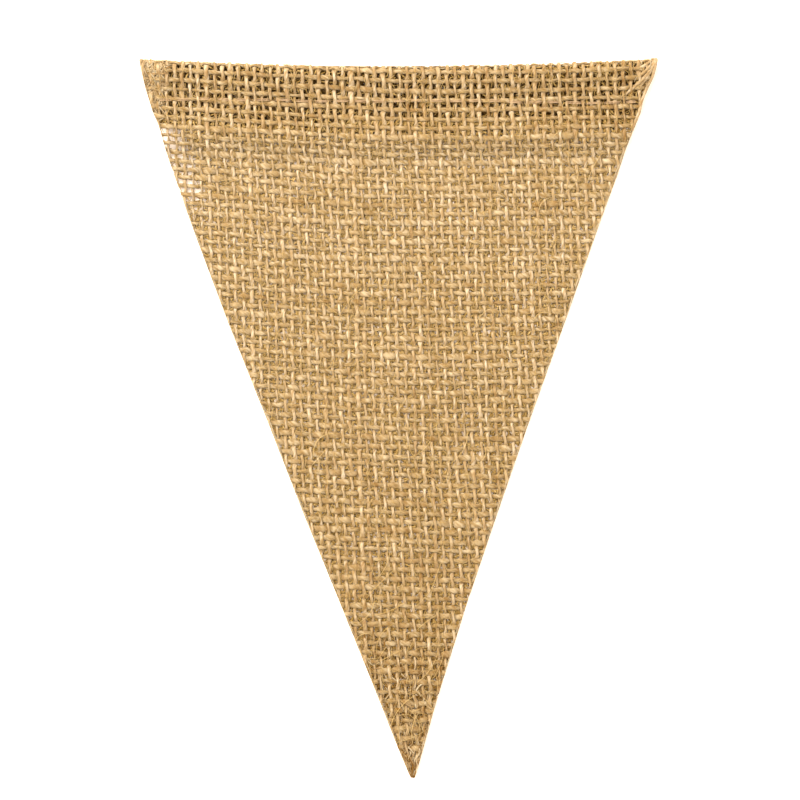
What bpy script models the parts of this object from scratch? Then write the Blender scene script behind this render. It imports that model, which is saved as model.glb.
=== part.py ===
"""One pennant of a burlap bunting, lying flat with its face up.

The pennant is one piece of coarse cloth. It was cut as a long triangle with a straight strip of
spare cloth above it. The strip is folded to the back along the top and sewn down, so that a string
can run through the fold. Here it lies as a flat layer under the face, a little apart from it.

Units are metres. +X is to the right of the face, +Y runs up towards the folded edge, +Z is up out
of the face. The cloth rests on z = 0.
"""

from math import cos, pi, sin

import bmesh
import bpy

MM = 0.001

# Driving sizes
WIDTH = 125.7 * MM          # between the two corners of the folded edge
HEIGHT = 174.2 * MM         # from those corners down to the tip
THICKNESS = 1.3 * MM        # a warp yarn lying over a weft yarn
TIP_ASIDE = 3.4 * MM        # the tip lies this far to the right of the middle
TIP_WIDTH = 1.0 * MM        # the tip is blunt, one yarn wide
TOP_SAG = 1.7 * MM          # the folded edge dips this far between its corners

# The hem, measured down from the folded edge
SEAM_DOWN = 8.8 * MM        # the row of stitches
FLAP_DOWN = 16.3 * MM       # the raw edge of the turned-in strip
FLAP_INSET = 0.6 * MM       # the strip ends this far inside the face's cut sides
SETTLE_FROM = 16.9 * MM     # the face starts to come down past the strip
SETTLE_TO = 23.5 * MM       # the face lies on the surface from here to the tip

# The hem's layers, one above the other
SEAM_GAP = 0.3 * MM         # between the layers, where the stitches hold them
EDGE_GAP = 0.45 * MM        # between the layers, at the raw edge
STRING_ROOM = 1.35 * MM     # between the layers, at the crown of the string's tunnel
FOLD_DEPTH = 1.3 * MM       # the middle of the cloth turns through a half ellipse this deep

# How far each cut side stands out from the straight line between its corner and the tip.
# Columns: share of the height down from the corners, left side, right side, both in mm.
SIDES = (
    (0.000, 0.00, 0.00),
    (0.026, 0.65, 0.00),
    (0.043, 1.05, -0.40),
    (0.060, 1.40, -0.65),
    (0.076, 1.20, -0.20),
    (0.094, 0.55, -0.35),
    (0.127, 1.90, -0.80),
    (0.160, 2.25, -0.60),
    (0.230, 2.55, -0.95),
    (0.360, 2.90, -1.10),
    (0.500, 2.50, -1.70),
    (0.630, 2.20, -1.85),
    (0.760, 1.65, -1.95),
    (0.900, 1.05, -1.30),
    (0.960, 0.60, -0.55),
    (1.000, 0.00, 0.00),
)

# How finely the surface is divided
COLUMNS = 16                # across, from cut side to cut side
FOLD_STEPS = 8              # around the half turn
TUNNEL_STEPS = 6            # from the crown of the tunnel down to the seam
EDGE_STEPS = 4              # from the seam to where the face leaves the strip
SETTLE_STEPS = 7            # from there down to the surface
FLAP_STEPS = 5              # along the turned-in strip
PLACING_PASSES = 3          # the sag depends on x and x on the sag, so both are worked out in turn
SMOOTH_UP_TO = pi / 4       # faces that meet more sharply than this keep a sharp edge

BURLAP = (0.60, 0.39, 0.18, 1.0)
BURLAP_ROUGHNESS = 0.9

FLOOR_LAYER = THICKNESS / 2                                  # height of a layer's middle
SEAM_LAYER = 1.5 * THICKNESS + SEAM_GAP
EDGE_LAYER = 1.5 * THICKNESS + EDGE_GAP
CROWN_LAYER = 1.5 * THICKNESS + STRING_ROOM
FOLD_BACK = FOLD_DEPTH + THICKNESS / 2                       # where the half turn starts


def clear_scene():
    for thing in list(bpy.data.objects):
        bpy.data.objects.remove(thing)


def ease(value, start, end):
    """0 at start, 1 at end, with level ends."""
    share = min(1.0, max(0.0, (value - start) / (end - start)))
    return share * share * (3 - 2 * share)


def side_stands_out(share, column):
    """The SIDES table, read between its rows."""
    for upper, lower in zip(SIDES, SIDES[1:]):
        if share <= lower[0]:
            part = (share - upper[0]) / (lower[0] - upper[0])
            return (upper[column] + part * (lower[column] - upper[column])) * MM
    return SIDES[-1][column] * MM


def left_side(down):
    """Where the left cut side is, at this distance below the corners."""
    share = min(1.0, max(0.0, down / HEIGHT))
    straight = -WIDTH / 2 + share * (TIP_ASIDE - TIP_WIDTH / 2 + WIDTH / 2)
    return straight - side_stands_out(share, 1)


def right_side(down):
    share = min(1.0, max(0.0, down / HEIGHT))
    straight = WIDTH / 2 + share * (TIP_ASIDE + TIP_WIDTH / 2 - WIDTH / 2)
    return straight + side_stands_out(share, 2)


def sag(x):
    """How far the folded edge, and each line that follows it, dips at this place."""
    return TOP_SAG * (1 - (2 * x / WIDTH) ** 2)


def face_height(below):
    """Height of the middle of the face, at this distance below the folded edge."""
    if below < SEAM_DOWN:
        return CROWN_LAYER + (SEAM_LAYER - CROWN_LAYER) * ease(below, FOLD_BACK, SEAM_DOWN)
    if below < SETTLE_FROM:
        return SEAM_LAYER + (EDGE_LAYER - SEAM_LAYER) * ease(below, SEAM_DOWN, FLAP_DOWN)
    return EDGE_LAYER + (FLOOR_LAYER - EDGE_LAYER) * ease(below, SETTLE_FROM, SETTLE_TO)


def between(start, end, steps):
    """Evenly spaced values after start, up to and with end."""
    return [start + (end - start) * (step + 1) / steps for step in range(steps)]


def cloth_line():
    """The middle of the cloth in section, from the tip, over the fold, to the strip's raw edge.

    Each point is its distance below the folded edge, its height, and how far the cut sides are
    drawn in there.
    """
    tip_down = HEIGHT - TOP_SAG
    outline_rows = [row[0] * HEIGHT for row in reversed(SIDES)]
    downs = [tip_down]
    downs += [down for down in outline_rows if SETTLE_TO < down < tip_down - THICKNESS]
    downs += [SETTLE_TO]
    downs += between(SETTLE_TO, SETTLE_FROM, SETTLE_STEPS)
    downs += between(SETTLE_FROM, SEAM_DOWN, EDGE_STEPS)
    downs += between(SEAM_DOWN, FOLD_BACK, TUNNEL_STEPS)
    line = [(down, face_height(down), 0.0) for down in downs]
    middle = (CROWN_LAYER + FLOOR_LAYER) / 2
    reach = (CROWN_LAYER - FLOOR_LAYER) / 2
    for turn in between(0, pi, FOLD_STEPS):
        line.append((FOLD_BACK - FOLD_DEPTH * sin(turn), middle + reach * cos(turn), 0.0))
    for down in between(FOLD_BACK, FLAP_DOWN, FLAP_STEPS):
        line.append((down, FLOOR_LAYER, FLAP_INSET * ease(down, FOLD_BACK, SEAM_DOWN)))
    return line


def outward(line, index):
    """Unit direction (down, up) out of the cloth's face at a point of its section."""
    before = line[max(0, index - 1)]
    after = line[min(len(line) - 1, index + 1)]
    along_down, along_up = after[0] - before[0], after[1] - before[1]
    length = (along_down ** 2 + along_up ** 2) ** 0.5
    return along_up / length, -along_down / length


def place(below, height, inset, share):
    """A point of the cloth: this far below the fold, and this share of the way across."""
    x = 0.0
    for _ in range(PLACING_PASSES):
        down = below + sag(x)
        left, right = left_side(down) + inset, right_side(down) - inset
        x = left + share * (right - left)
    return x, HEIGHT / 2 - sag(x) - below, height


def skin(mesh, line, offset):
    """One grid of points on a side of the cloth, half its thickness from the middle."""
    grid = []
    for index, (below, height, inset) in enumerate(line):
        down, up = outward(line, index)
        moved = (below + offset * down, height + offset * up, inset)
        row = [mesh.verts.new(place(*moved, column / COLUMNS)) for column in range(COLUMNS + 1)]
        grid.append(row)
    return grid


def bridge(mesh, first, second):
    """Faces between two rows of as many points."""
    for index in range(len(first) - 1):
        mesh.faces.new((first[index], first[index + 1], second[index + 1], second[index]))


def pennant_mesh():
    mesh = bmesh.new()
    line = cloth_line()
    face = skin(mesh, line, THICKNESS / 2)
    back = skin(mesh, line, -THICKNESS / 2)
    for grid in (face, back):
        for first, second in zip(grid, grid[1:]):
            bridge(mesh, first, second)
    for end in (0, -1):
        bridge(mesh, face[end], back[end])
        bridge(mesh, [row[end] for row in face], [row[end] for row in back])
    bmesh.ops.recalc_face_normals(mesh, faces=mesh.faces)
    data = bpy.data.meshes.new("pennant")
    mesh.to_mesh(data)
    mesh.free()
    data.shade_smooth()
    data.set_sharp_from_angle(angle=SMOOTH_UP_TO)
    return data


def burlap():
    material = bpy.data.materials.new("burlap")
    material.use_nodes = True
    shader = material.node_tree.nodes["Principled BSDF"]
    shader.inputs["Base Color"].default_value = BURLAP
    shader.inputs["Roughness"].default_value = BURLAP_ROUGHNESS
    shader.inputs["Metallic"].default_value = 0.0
    return material


def main():
    clear_scene()
    data = pennant_mesh()
    data.materials.append(burlap())
    pennant = bpy.data.objects.new("pennant", data)
    bpy.context.scene.collection.objects.link(pennant)


main()
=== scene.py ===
# %% [markdown]
# # A burlap pennant, woven yarn by yarn
#
# The real object is one flag of a bunting: coarse jute cloth cut as a long triangle, with its top
# edge folded back and sewn down so that a string can run through. Burlap is so open that every
# yarn shows, so a flat sheet with a picture of a weave would look wrong from close by and from the
# side. This script weaves the cloth instead: each warp and weft yarn is a tube that passes over
# and under the others, and they all follow the curved surface that the cloth has as it lies.
#
# The frame already holds the plain solid of the pennant, and its box gives the real size.

# %% Load the frame
from math import pi

import bpy
import numpy as np
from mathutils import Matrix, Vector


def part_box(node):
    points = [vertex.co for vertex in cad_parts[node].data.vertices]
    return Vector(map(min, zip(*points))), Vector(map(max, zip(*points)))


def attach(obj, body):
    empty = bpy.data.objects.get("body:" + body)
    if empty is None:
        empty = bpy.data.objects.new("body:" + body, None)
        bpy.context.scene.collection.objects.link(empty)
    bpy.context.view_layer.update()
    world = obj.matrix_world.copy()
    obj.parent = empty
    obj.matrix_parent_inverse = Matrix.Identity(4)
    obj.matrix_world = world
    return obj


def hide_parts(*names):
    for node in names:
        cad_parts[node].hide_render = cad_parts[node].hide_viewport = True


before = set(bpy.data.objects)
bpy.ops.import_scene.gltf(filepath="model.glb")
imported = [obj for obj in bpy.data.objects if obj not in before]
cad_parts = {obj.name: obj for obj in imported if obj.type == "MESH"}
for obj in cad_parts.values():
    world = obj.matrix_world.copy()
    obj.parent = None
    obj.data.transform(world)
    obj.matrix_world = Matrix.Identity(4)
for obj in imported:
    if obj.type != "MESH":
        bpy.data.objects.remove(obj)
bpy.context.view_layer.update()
MM = 0.001
low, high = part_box("pennant")
WIDTH = high.x - low.x
HEIGHT = high.y - low.y
print(f"pennant {WIDTH / MM:.1f} x {HEIGHT / MM:.1f} x {(high.z - low.z) / MM:.1f} mm")

# %% [markdown]
# ## The cut shape
#
# A maker cuts the flag with shears, so its sides are nearly straight, but not quite: the left one
# swells outwards and the right one is slightly hollow. The folded edge sags between its corners.
# A traced outline would be hard to change later, so the shape is a triangle plus a few real sizes
# that say how far each side stands out from it.

# %% Cut shape
TIP_ASIDE = 3.4 * MM        # the tip lies this far to the right of the middle
TIP_WIDTH = 1.0 * MM        # and is blunt
TOP_SAG = 1.7 * MM          # the folded edge dips this far between its corners
# Columns: share of the height down from the corners, then how far the left and the right side
# stand out from the straight line between corner and tip, in mm.
SIDES = np.array((
    (0.000, 0.00, 0.00),
    (0.026, 0.80, 0.35),
    (0.043, 1.20, -0.05),
    (0.060, 1.40, -0.25),
    (0.076, 1.60, 0.10),
    (0.094, 1.35, -0.10),
    (0.127, 2.00, -0.45),
    (0.160, 2.20, -0.35),
    (0.230, 2.55, -0.70),
    (0.360, 2.65, -1.00),
    (0.500, 2.10, -1.50),
    (0.630, 1.85, -1.70),
    (0.760, 1.15, -1.70),
    (0.900, 0.50, -1.00),
    (0.960, 0.35, -0.35),
    (1.000, 0.00, 0.00),
))


def left_side(down):
    share = np.clip(down / HEIGHT, 0, 1)
    straight = -WIDTH / 2 + share * (TIP_ASIDE - TIP_WIDTH / 2 + WIDTH / 2)
    return straight - np.interp(share, SIDES[:, 0], SIDES[:, 1]) * MM


def right_side(down):
    share = np.clip(down / HEIGHT, 0, 1)
    straight = WIDTH / 2 + share * (TIP_ASIDE + TIP_WIDTH / 2 - WIDTH / 2)
    return straight + np.interp(share, SIDES[:, 0], SIDES[:, 2]) * MM


def sag(x):
    return TOP_SAG * (1 - (2 * x / WIDTH) ** 2)


half_way = HEIGHT / 2
print(f"half way down it is {(right_side(half_way) - left_side(half_way)) / MM:.1f} mm wide")

# %% [markdown]
# ## The cloth in section
#
# Seen from the end, the cloth is one line that goes back and forth: a strip lies on the surface,
# turns over at the top edge, and comes back above itself as the face. The two layers are pressed
# together at the stitches and stand apart above them, where the string would go. Past the strip
# the face settles onto the surface. Every yarn is placed by how far along this line it lies, and
# that distance is called its run: zero at the fold, below zero in the strip, above it in the face.

# %% Depths and gaps
THICKNESS = 1.3 * MM        # a warp yarn lying over a weft yarn
SEAM_DOWN = 8.8 * MM        # from the fold down to the stitches
FLAP_DOWN = 16.3 * MM       # and down to the strip's raw edge
SETTLE_FROM = 16.9 * MM     # past the strip the face starts to come down
SETTLE_TO = 23.5 * MM       # and from here on it lies on the surface
FOLD_DEPTH = 1.3 * MM       # the middle of the cloth turns over within this depth
SEAM_GAP = 0.3 * MM         # between the two layers, at the stitches
EDGE_GAP = 0.45 * MM        # at the strip's raw edge
STRING_ROOM = 1.35 * MM     # and at the crown of the string's tunnel
FOLD_BACK = FOLD_DEPTH + THICKNESS / 2
FLOOR_LAYER = THICKNESS / 2
SEAM_LAYER = 1.5 * THICKNESS + SEAM_GAP
EDGE_LAYER = 1.5 * THICKNESS + EDGE_GAP
CROWN_LAYER = 1.5 * THICKNESS + STRING_ROOM
print(f"at the stitches the face is {SEAM_LAYER / MM:.2f} mm up, at the crown {CROWN_LAYER / MM:.2f}")


# %% Height of the face
def ease(value, start, end):
    """0 at start, 1 at end, with level ends."""
    share = np.clip((value - start) / (end - start), 0, 1)
    return share * share * (3 - 2 * share)


def face_height(below):
    """Height of the middle of the face, at this distance below the folded edge."""
    tunnel = CROWN_LAYER + (SEAM_LAYER - CROWN_LAYER) * ease(below, FOLD_BACK, SEAM_DOWN)
    past_seam = SEAM_LAYER + (EDGE_LAYER - SEAM_LAYER) * ease(below, SEAM_DOWN, FLAP_DOWN)
    settling = EDGE_LAYER + (FLOOR_LAYER - EDGE_LAYER) * ease(below, SETTLE_FROM, SETTLE_TO)
    return np.where(below < SEAM_DOWN, tunnel, np.where(below < SETTLE_FROM, past_seam, settling))


print(f"20 mm below the fold the face is {face_height(20 * MM) / MM:.2f} mm up")

# %% Section line
FLAP_POINTS, TURN_POINTS, FACE_POINTS = 200, 121, 2000

flap_below = np.linspace(FLAP_DOWN, FOLD_BACK, FLAP_POINTS, endpoint=False)
turn = np.linspace(pi, 0, TURN_POINTS)
turn_below = FOLD_BACK - FOLD_DEPTH * np.sin(turn)
turn_rise = (CROWN_LAYER + FLOOR_LAYER) / 2 + (CROWN_LAYER - FLOOR_LAYER) / 2 * np.cos(turn)
face_below = np.linspace(FOLD_BACK, HEIGHT - TOP_SAG, FACE_POINTS)[1:]
BELOW = np.concatenate([flap_below, turn_below, face_below])
RISE = np.concatenate([np.full(FLAP_POINTS, FLOOR_LAYER), turn_rise, face_height(face_below)])
RUN = np.concatenate([[0], np.cumsum(np.hypot(np.diff(BELOW), np.diff(RISE)))])
FOLD_POINT = FLAP_POINTS + TURN_POINTS // 2
RUN -= RUN[FOLD_POINT]
FLAP_END, TIP_END = RUN[0], RUN[-1]
print(f"strip {-FLAP_END / MM:.1f} mm, face {TIP_END / MM:.1f} mm along the cloth")

# %% [markdown]
# ## Places on the cloth
#
# A yarn is easy to describe on the flat cloth, by x and run, and hard to describe in space. So the
# flat cloth is used for all planning, and one helper moves the points to where the bent cloth is.
# The slope of the section line gives the direction out of the face, which lifts a yarn off it.

# %% Places on the cloth
FLAP_INSET = 0.6 * MM       # the strip ends this far inside the face's cut sides
ALONG_DOWN, ALONG_UP = np.gradient(BELOW, RUN), np.gradient(RISE, RUN)


def place(x, run, lift):
    """Points of the cloth at x and run, raised by lift out of the cloth's face side."""
    out_down, out_up = -np.interp(run, RUN, ALONG_UP), np.interp(run, RUN, ALONG_DOWN)
    y = HEIGHT / 2 - sag(x) - np.interp(run, RUN, BELOW) - lift * out_down
    return np.stack([x + 0 * y, y, np.interp(run, RUN, RISE) + lift * out_up], -1)


def out_of_face(run):
    """The direction out of the cloth's face side."""
    down, up = -np.interp(run, RUN, ALONG_UP), np.interp(run, RUN, ALONG_DOWN)
    return np.stack([0 * run, -down, up], -1)


def cut_limits(x, run):
    """Where the cut sides are at this run, for a yarn near x."""
    down = np.interp(run, RUN, BELOW) + sag(x)
    inset = np.where(run < 0, FLAP_INSET * ease(-run, 0, SEAM_DOWN), 0)
    return left_side(down) + inset, right_side(down) - inset


def face_run(below):
    """The run of a place on the face, from its distance below the folded edge."""
    return np.interp(below, BELOW[FOLD_POINT:], RUN[FOLD_POINT:])


print(f"the stitches lie {face_run(SEAM_DOWN) / MM:.1f} mm from the fold along the face")

# %% [markdown]
# ## How far apart the yarns lie
#
# Burlap comes from a loom whose yarns are fat, thin and hairy by turns, so no two of them are
# evenly spaced. A plain grid would look printed. Each yarn here keeps its own place, with a slow
# wander along its length. The random numbers come from one seeded generator, so the same cloth is
# woven each time.

# %% Slow wander
WAVE_LENGTHS = np.array((1.0, 0.43, 0.19))     # each yarn has three waves, one inside another
WAVE_SIZES = np.array((1.0, 0.6, 0.35))
rng = np.random.default_rng(41)


def wander(count, size, longest):
    """A function of yarn number and distance: a slow, uneven wave for each yarn."""
    phases = rng.uniform(0, 2 * pi, (3, count))
    lengths = longest * WAVE_LENGTHS[:, None] * rng.uniform(0.8, 1.25, (3, count))
    sizes = size * WAVE_SIZES[:, None] * rng.uniform(0.5, 1.2, (3, count))

    def at(number, distance):
        waves = [s[number] * np.sin(2 * pi * distance / w[number] + p[number])
                 for s, w, p in zip(sizes, lengths, phases)]
        return sum(waves)

    return at


print(f"the shortest wave is {WAVE_LENGTHS[-1]:.2f} of the longest")

# %% Yarn spacing
WARP_PITCH = 1.93 * MM
WARP_UNEVEN = 0.07 * MM     # how far a warp is off its even place
SPARE_WARPS = 4             # the warps drift sideways, so a few more are planned
# Columns: run in mm, distance from one weft to the next there in mm.
WEFT_PITCHES = np.array((
    (-20, 2.23), (14, 2.23), (22, 2.12), (70, 2.15), (100, 2.26), (180, 2.28),
))
WEFT_UNEVEN = 0.045         # share by which the distance between two wefts differs
BEFORE_FLAP = 2.5 * MM      # the first weft is planned this far outside the strip
FOLD_WEFT = 1.5 * MM        # how far from the fold the first weft of the face lies
TUFT = 4.5 * MM             # the wefts have frayed away this far above the tip
WARP_WANDER, WARP_WAVE = 0.07 * MM, 42 * MM
WEFT_WANDER, WEFT_WAVE = 0.09 * MM, 38 * MM

WARPS = int(WIDTH / WARP_PITCH) + SPARE_WARPS
warp_place = (np.arange(WARPS) - (WARPS - 1) / 2) * WARP_PITCH
warp_place += rng.normal(0, WARP_UNEVEN, WARPS)
warp_wander = wander(WARPS, WARP_WANDER, WARP_WAVE)
weft_steps = [FLAP_END - BEFORE_FLAP]
while weft_steps[-1] < TIP_END - TUFT:
    pitch = np.interp(weft_steps[-1] / MM, WEFT_PITCHES[:, 0], WEFT_PITCHES[:, 1]) * MM
    weft_steps.append(weft_steps[-1] + pitch * rng.normal(1, WEFT_UNEVEN))
weft_place = np.array(weft_steps)
weft_place += FOLD_WEFT - weft_place[np.argmin(np.abs(weft_place - FOLD_WEFT))]
WEFTS = len(weft_place)
weft_wander = wander(WEFTS, WEFT_WANDER, WEFT_WAVE)
print(f"{WARPS} warps and {WEFTS} wefts are planned")

# %% [markdown]
# ## Where the yarns cross
#
# Cloth that has been handled is pulled a little out of square: the warps lean, the wefts fall to
# one side, and neighbours drift together. Once both sets are functions of place, their crossings
# can be worked out, and these say where each yarn has to pass over and where under.

# %% Crossings
WARP_SPREAD = 0.03          # the warps stand this much further apart at the tip than at the fold
WARP_LEAN = 0.026           # and drift to the right as they go down the face
LEAN_FROM = 6 * MM          # from this far below the fold on
FLAP_LEAN = 0.038           # in the strip they drift the other way, because the fold isn't square
WEFT_TILT = 0.02            # the wefts fall a little to the right
PULL_ACROSS = 0.16 * MM     # how far neighbouring warps are pulled aside together
PULL_ALONG = 0.22 * MM      # and neighbouring wefts


def pulled(x, run):
    """The drift that neighbouring yarns share, across and along the cloth."""
    across = PULL_ACROSS * np.sin(run / (17 * MM) + 1.3 * np.sin(x / (29 * MM)))
    along = PULL_ALONG * np.sin(x / (13 * MM) + 1.7 * np.sin(run / (31 * MM)) + 0.6)
    return across, along


def warp_x(number, run):
    down = np.interp(run, RUN, BELOW)
    lean = np.where(run > 0, WARP_LEAN * np.maximum(down - LEAN_FROM, 0), -FLAP_LEAN * down)
    x = warp_place[number] * (1 + WARP_SPREAD * down / HEIGHT) + lean
    return x + warp_wander(number, run) + pulled(x, run)[0]


def weft_run(number, x):
    run = weft_place[number] + WEFT_TILT * x
    return run + weft_wander(number, x) + pulled(x, run)[1]


warps, wefts = np.arange(WARPS), np.arange(WEFTS)
cross_x = np.array([warp_x(warps, np.full(WARPS, weft_place[j])) for j in wefts])
cross_run = np.array([weft_run(np.full(WARPS, j), cross_x[j]) for j in wefts])
print(f"{WARPS * WEFTS} crossings before cutting")

# %% [markdown]
# ## From a path to a yarn
#
# A jute yarn is a loose bundle of coarse fibres with a twist. A Blender curve with a round bevel
# would be quick, but its section can't change shape. Tubes made from rings of points can: they
# narrow where the yarn is pulled tight, spread where it is pressed flat, and stay one closed mesh.
# Each point also keeps where it lies in the yarn's own twist. The material reads that, so that the
# fibres run around the yarn and not across it.

# %% Tube helper
FIBRE_TURN = 5.5 * MM       # one whole turn of the twist


def tube(path, up, half_width, half_height, sides, lumps, twist_start=0.0):
    """Rings of points around a path. up is the direction that half_height is measured in."""
    along = np.gradient(path, axis=0)
    along /= np.linalg.norm(along, axis=1, keepdims=True)
    side = np.cross(along, up)
    side /= np.linalg.norm(side, axis=1, keepdims=True)
    top = np.cross(side, along)
    length = np.concatenate([[0], np.cumsum(np.linalg.norm(np.diff(path, axis=0), axis=1))])
    angle = 2 * pi * np.arange(sides) / sides
    bulge = 1 + lumps(length[:, None], angle[None, :])
    across = (half_width[:, None] * np.cos(angle) * bulge)[..., None] * side[:, None, :]
    upward = (half_height[:, None] * np.sin(angle) * bulge)[..., None] * top[:, None, :]
    twist = angle[None, :] + 2 * pi * length[:, None] / FIBRE_TURN + twist_start
    return {"points": path[:, None, :] + across + upward, "length": length, "twist": twist}


print(f"a yarn turns once in {FIBRE_TURN / MM:.1f} mm")

# %% [markdown]
# ## Lumps in the yarn
#
# Spun jute is never round. Small bundles of fibre wind around it, and more fibre goes in at some
# places than at others. A few sine waves with their own phases do this at the cost of no extra
# points, and unlike noise they can follow the twist.

# %% Lumps
WOUND, BUNDLE, LUMP, SLOW = 1.9 * MM, 2.9 * MM, 1.7 * MM, 17 * MM      # lengths of the waves


def uneven(strength):
    """Lumps that differ from yarn to yarn and wind around it."""
    phase = rng.uniform(0, 2 * pi, 5)
    rate = rng.uniform(0.8, 1.2, 5)

    def at(length, angle):
        wound = np.sin(3 * angle + rate[0] * 2 * pi * length / WOUND + phase[0])
        bundle = np.sin(2 * angle - rate[1] * 2 * pi * length / BUNDLE + phase[1])
        lump = np.sin(rate[2] * 2 * pi * length / LUMP + phase[2])
        slow = np.sin(rate[3] * 2 * pi * length / SLOW + phase[3])
        return strength * (0.9 * wound + 0.7 * bundle + 0.5 * lump + 0.8 * slow)

    return at


print(f"the shortest lumps are {LUMP / MM:.1f} mm long, the longest {SLOW / MM:.0f} mm")

# %% [markdown]
# ## Cut by the shears
#
# Shears go through yarns at any angle, so their ends lie on one clean line. A boolean cut through
# this many tubes would be slow and could fail. It is enough to press every point that lies outside
# back onto the line of the cut, and up onto the surface that the cloth lies on.

# %% Cut by the shears
OVER_FLOOR = 0.02 * MM      # how far above the surface the lowest fibres lie
PAST_FOLD = 0.1 * MM        # how far a fibre may stand out beyond the fold


def kept_inside(points):
    """Points pressed back to the line of the cut, and onto the surface."""
    x, y = points[..., 0], points[..., 1]
    down = HEIGHT / 2 - y
    points[..., 0] = np.clip(x, left_side(down), right_side(down))
    points[..., 1] = np.clip(y, -HEIGHT / 2, HEIGHT / 2 + PAST_FOLD)
    points[..., 2] = np.maximum(points[..., 2], OVER_FLOOR)
    return points


stray_point = kept_inside(np.array([WIDTH, 0.0, 0.0]))
print(f"a point far to the right is pressed back to x = {stray_point[0] / MM:.1f} mm")

# %% [markdown]
# ## From numbers to a mesh
#
# Thousands of separate objects would be slow, so many tubes go into one mesh, and numpy writes its
# points, corners and faces at once. Two attributes go with it for the material: "fibre" says where
# a point lies in its yarn's twist, and "tone" how brown the jute is there, with painted shade added
# in the hem, in the strip behind it and towards the right side.

# %% Mesh from numbers
def mesh_object(name, points, quads, caps, quad_uvs, cap_uvs, fibres, tones):
    """A mesh of four-sided faces and flat ends, with its map and the material's attributes."""
    corners = np.concatenate([quads.ravel(), caps.ravel()])
    counts = np.concatenate([np.full(len(quads), 4), np.full(len(caps), caps.shape[1])])
    mesh = bpy.data.meshes.new(name)
    mesh.vertices.add(len(points))
    mesh.vertices.foreach_set("co", points.astype(np.float32).ravel())
    mesh.loops.add(len(corners))
    mesh.loops.foreach_set("vertex_index", corners.astype(np.int32))
    mesh.polygons.add(len(counts))
    starts = np.concatenate([[0], np.cumsum(counts)[:-1]])
    mesh.polygons.foreach_set("loop_start", starts.astype(np.int32))
    mesh.polygons.foreach_set("use_smooth", counts == 4)
    uvs = np.concatenate([quad_uvs.reshape(-1, 2), cap_uvs.reshape(-1, 2)])
    mesh.uv_layers.new(name="OFBake").uv.foreach_set("vector", uvs.astype(np.float32).ravel())
    fibre = mesh.attributes.new("fibre", "FLOAT_VECTOR", "POINT")
    fibre.data.foreach_set("vector", fibres.astype(np.float32).ravel())
    tone = mesh.attributes.new("tone", "FLOAT", "POINT")
    tone.data.foreach_set("value", tones.astype(np.float32))
    mesh.update(calc_edges=True)
    mesh.validate()
    made = bpy.data.objects.new(name, mesh)
    bpy.context.scene.collection.objects.link(made)
    print(f"{name}: {int(np.sum(counts - 2))} triangles")
    return made


print("mesh_object turns arrays into one mesh")


# %% Faces of a tube
def quad_ring_faces(rings, sides):
    """Faces of one tube with its faces pointing out, and the corners of its two ends."""
    ring, side = np.arange(rings - 1)[:, None], np.arange(sides)[None, :]
    after = (side + 1) % sides
    quads = np.stack([
        ring * sides + side, (ring + 1) * sides + side,
        (ring + 1) * sides + after, ring * sides + after,
    ], -1).reshape(-1, 4)
    caps = np.stack([np.arange(sides), (rings - 1) * sides + np.arange(sides)[::-1]])
    return quads, caps


print(f"a tube of 10 rings with 8 sides has {len(quad_ring_faces(10, 8)[0])} side faces")

# %% [markdown]
# ## A place on the map for each yarn
#
# Each yarn needs its own place on the picture map. Blender's own unwrapping would take minutes
# here. A tube unrolls into a straight band, so the bands are simply laid side by side in rows, as
# long as the yarns are. The yarn's two cut ends are little discs beside its band.

# %% Map of the yarns
BAND_MARGIN = 0.12          # share of a row that stays empty below and above a band
END_DISC = 0.8 * MM         # room for an end; each yarn has three times this beside its band


def band_places(lengths, girth):
    """(start, row) of each yarn on the map, the number of rows, and how long a row is."""
    room = [length + 3 * END_DISC for length in lengths]
    row_length = max(max(room) * 1.001, (sum(room) * girth) ** 0.5)
    starts, rows, row, filled = [], [], 0, 0.0
    for needed in room:
        if filled + needed > row_length:
            row, filled = row + 1, 0.0
        starts.append((filled + 1.3 * END_DISC) / row_length)
        rows.append(row)
        filled += needed
    return starts, rows, row + 1, row_length


def ring_map(along, up):
    """Map corners for quad_ring_faces: along has a value for each ring, up one for each side."""
    shape = (len(along) - 1, len(up) - 1, 4)
    u = np.stack([along[:-1], along[1:], along[1:], along[:-1]], -1)[:, None, :]
    v = np.stack([up[:-1], up[:-1], up[1:], up[1:]], -1)[None, :, :]
    return np.stack([np.broadcast_to(u, shape), np.broadcast_to(v, shape)], -1).reshape(-1, 4, 2)


one_yarn = band_places([HEIGHT], 2 * MM)
print(f"a yarn as long as the pennant is high needs {one_yarn[3] / MM:.1f} mm of a row")


# %% Map of the yarns' ends
def end_discs(along, row, sides, row_length, row_count):
    """Map corners of a tube's two ends, one disc before its band and one behind."""
    angle = 2 * pi * np.arange(sides) / sides
    across = np.cos(angle) * 0.4 * END_DISC / row_length
    disc = np.stack([across, 0.3 * np.sin(angle) / row_count], -1)
    centre = (row + 0.5) / row_count
    before = disc + (along[0] - 0.6 * END_DISC / row_length, centre)
    behind = disc + (along[-1] + 0.6 * END_DISC / row_length, centre)
    return np.stack([before, behind[::-1]])


print(f"a yarn with its ends is {3 * END_DISC / MM:.1f} mm longer on the map")

# %% [markdown]
# ## Joining yarns
#
# One function takes any list of tubes, numbers their points on from each other, and hands one big
# mesh over. The number of the yarn also shifts its fibre coordinate, so that no two yarns show the
# same streaks.

# %% Join tubes
STREAK_SHIFT = 37.0


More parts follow.
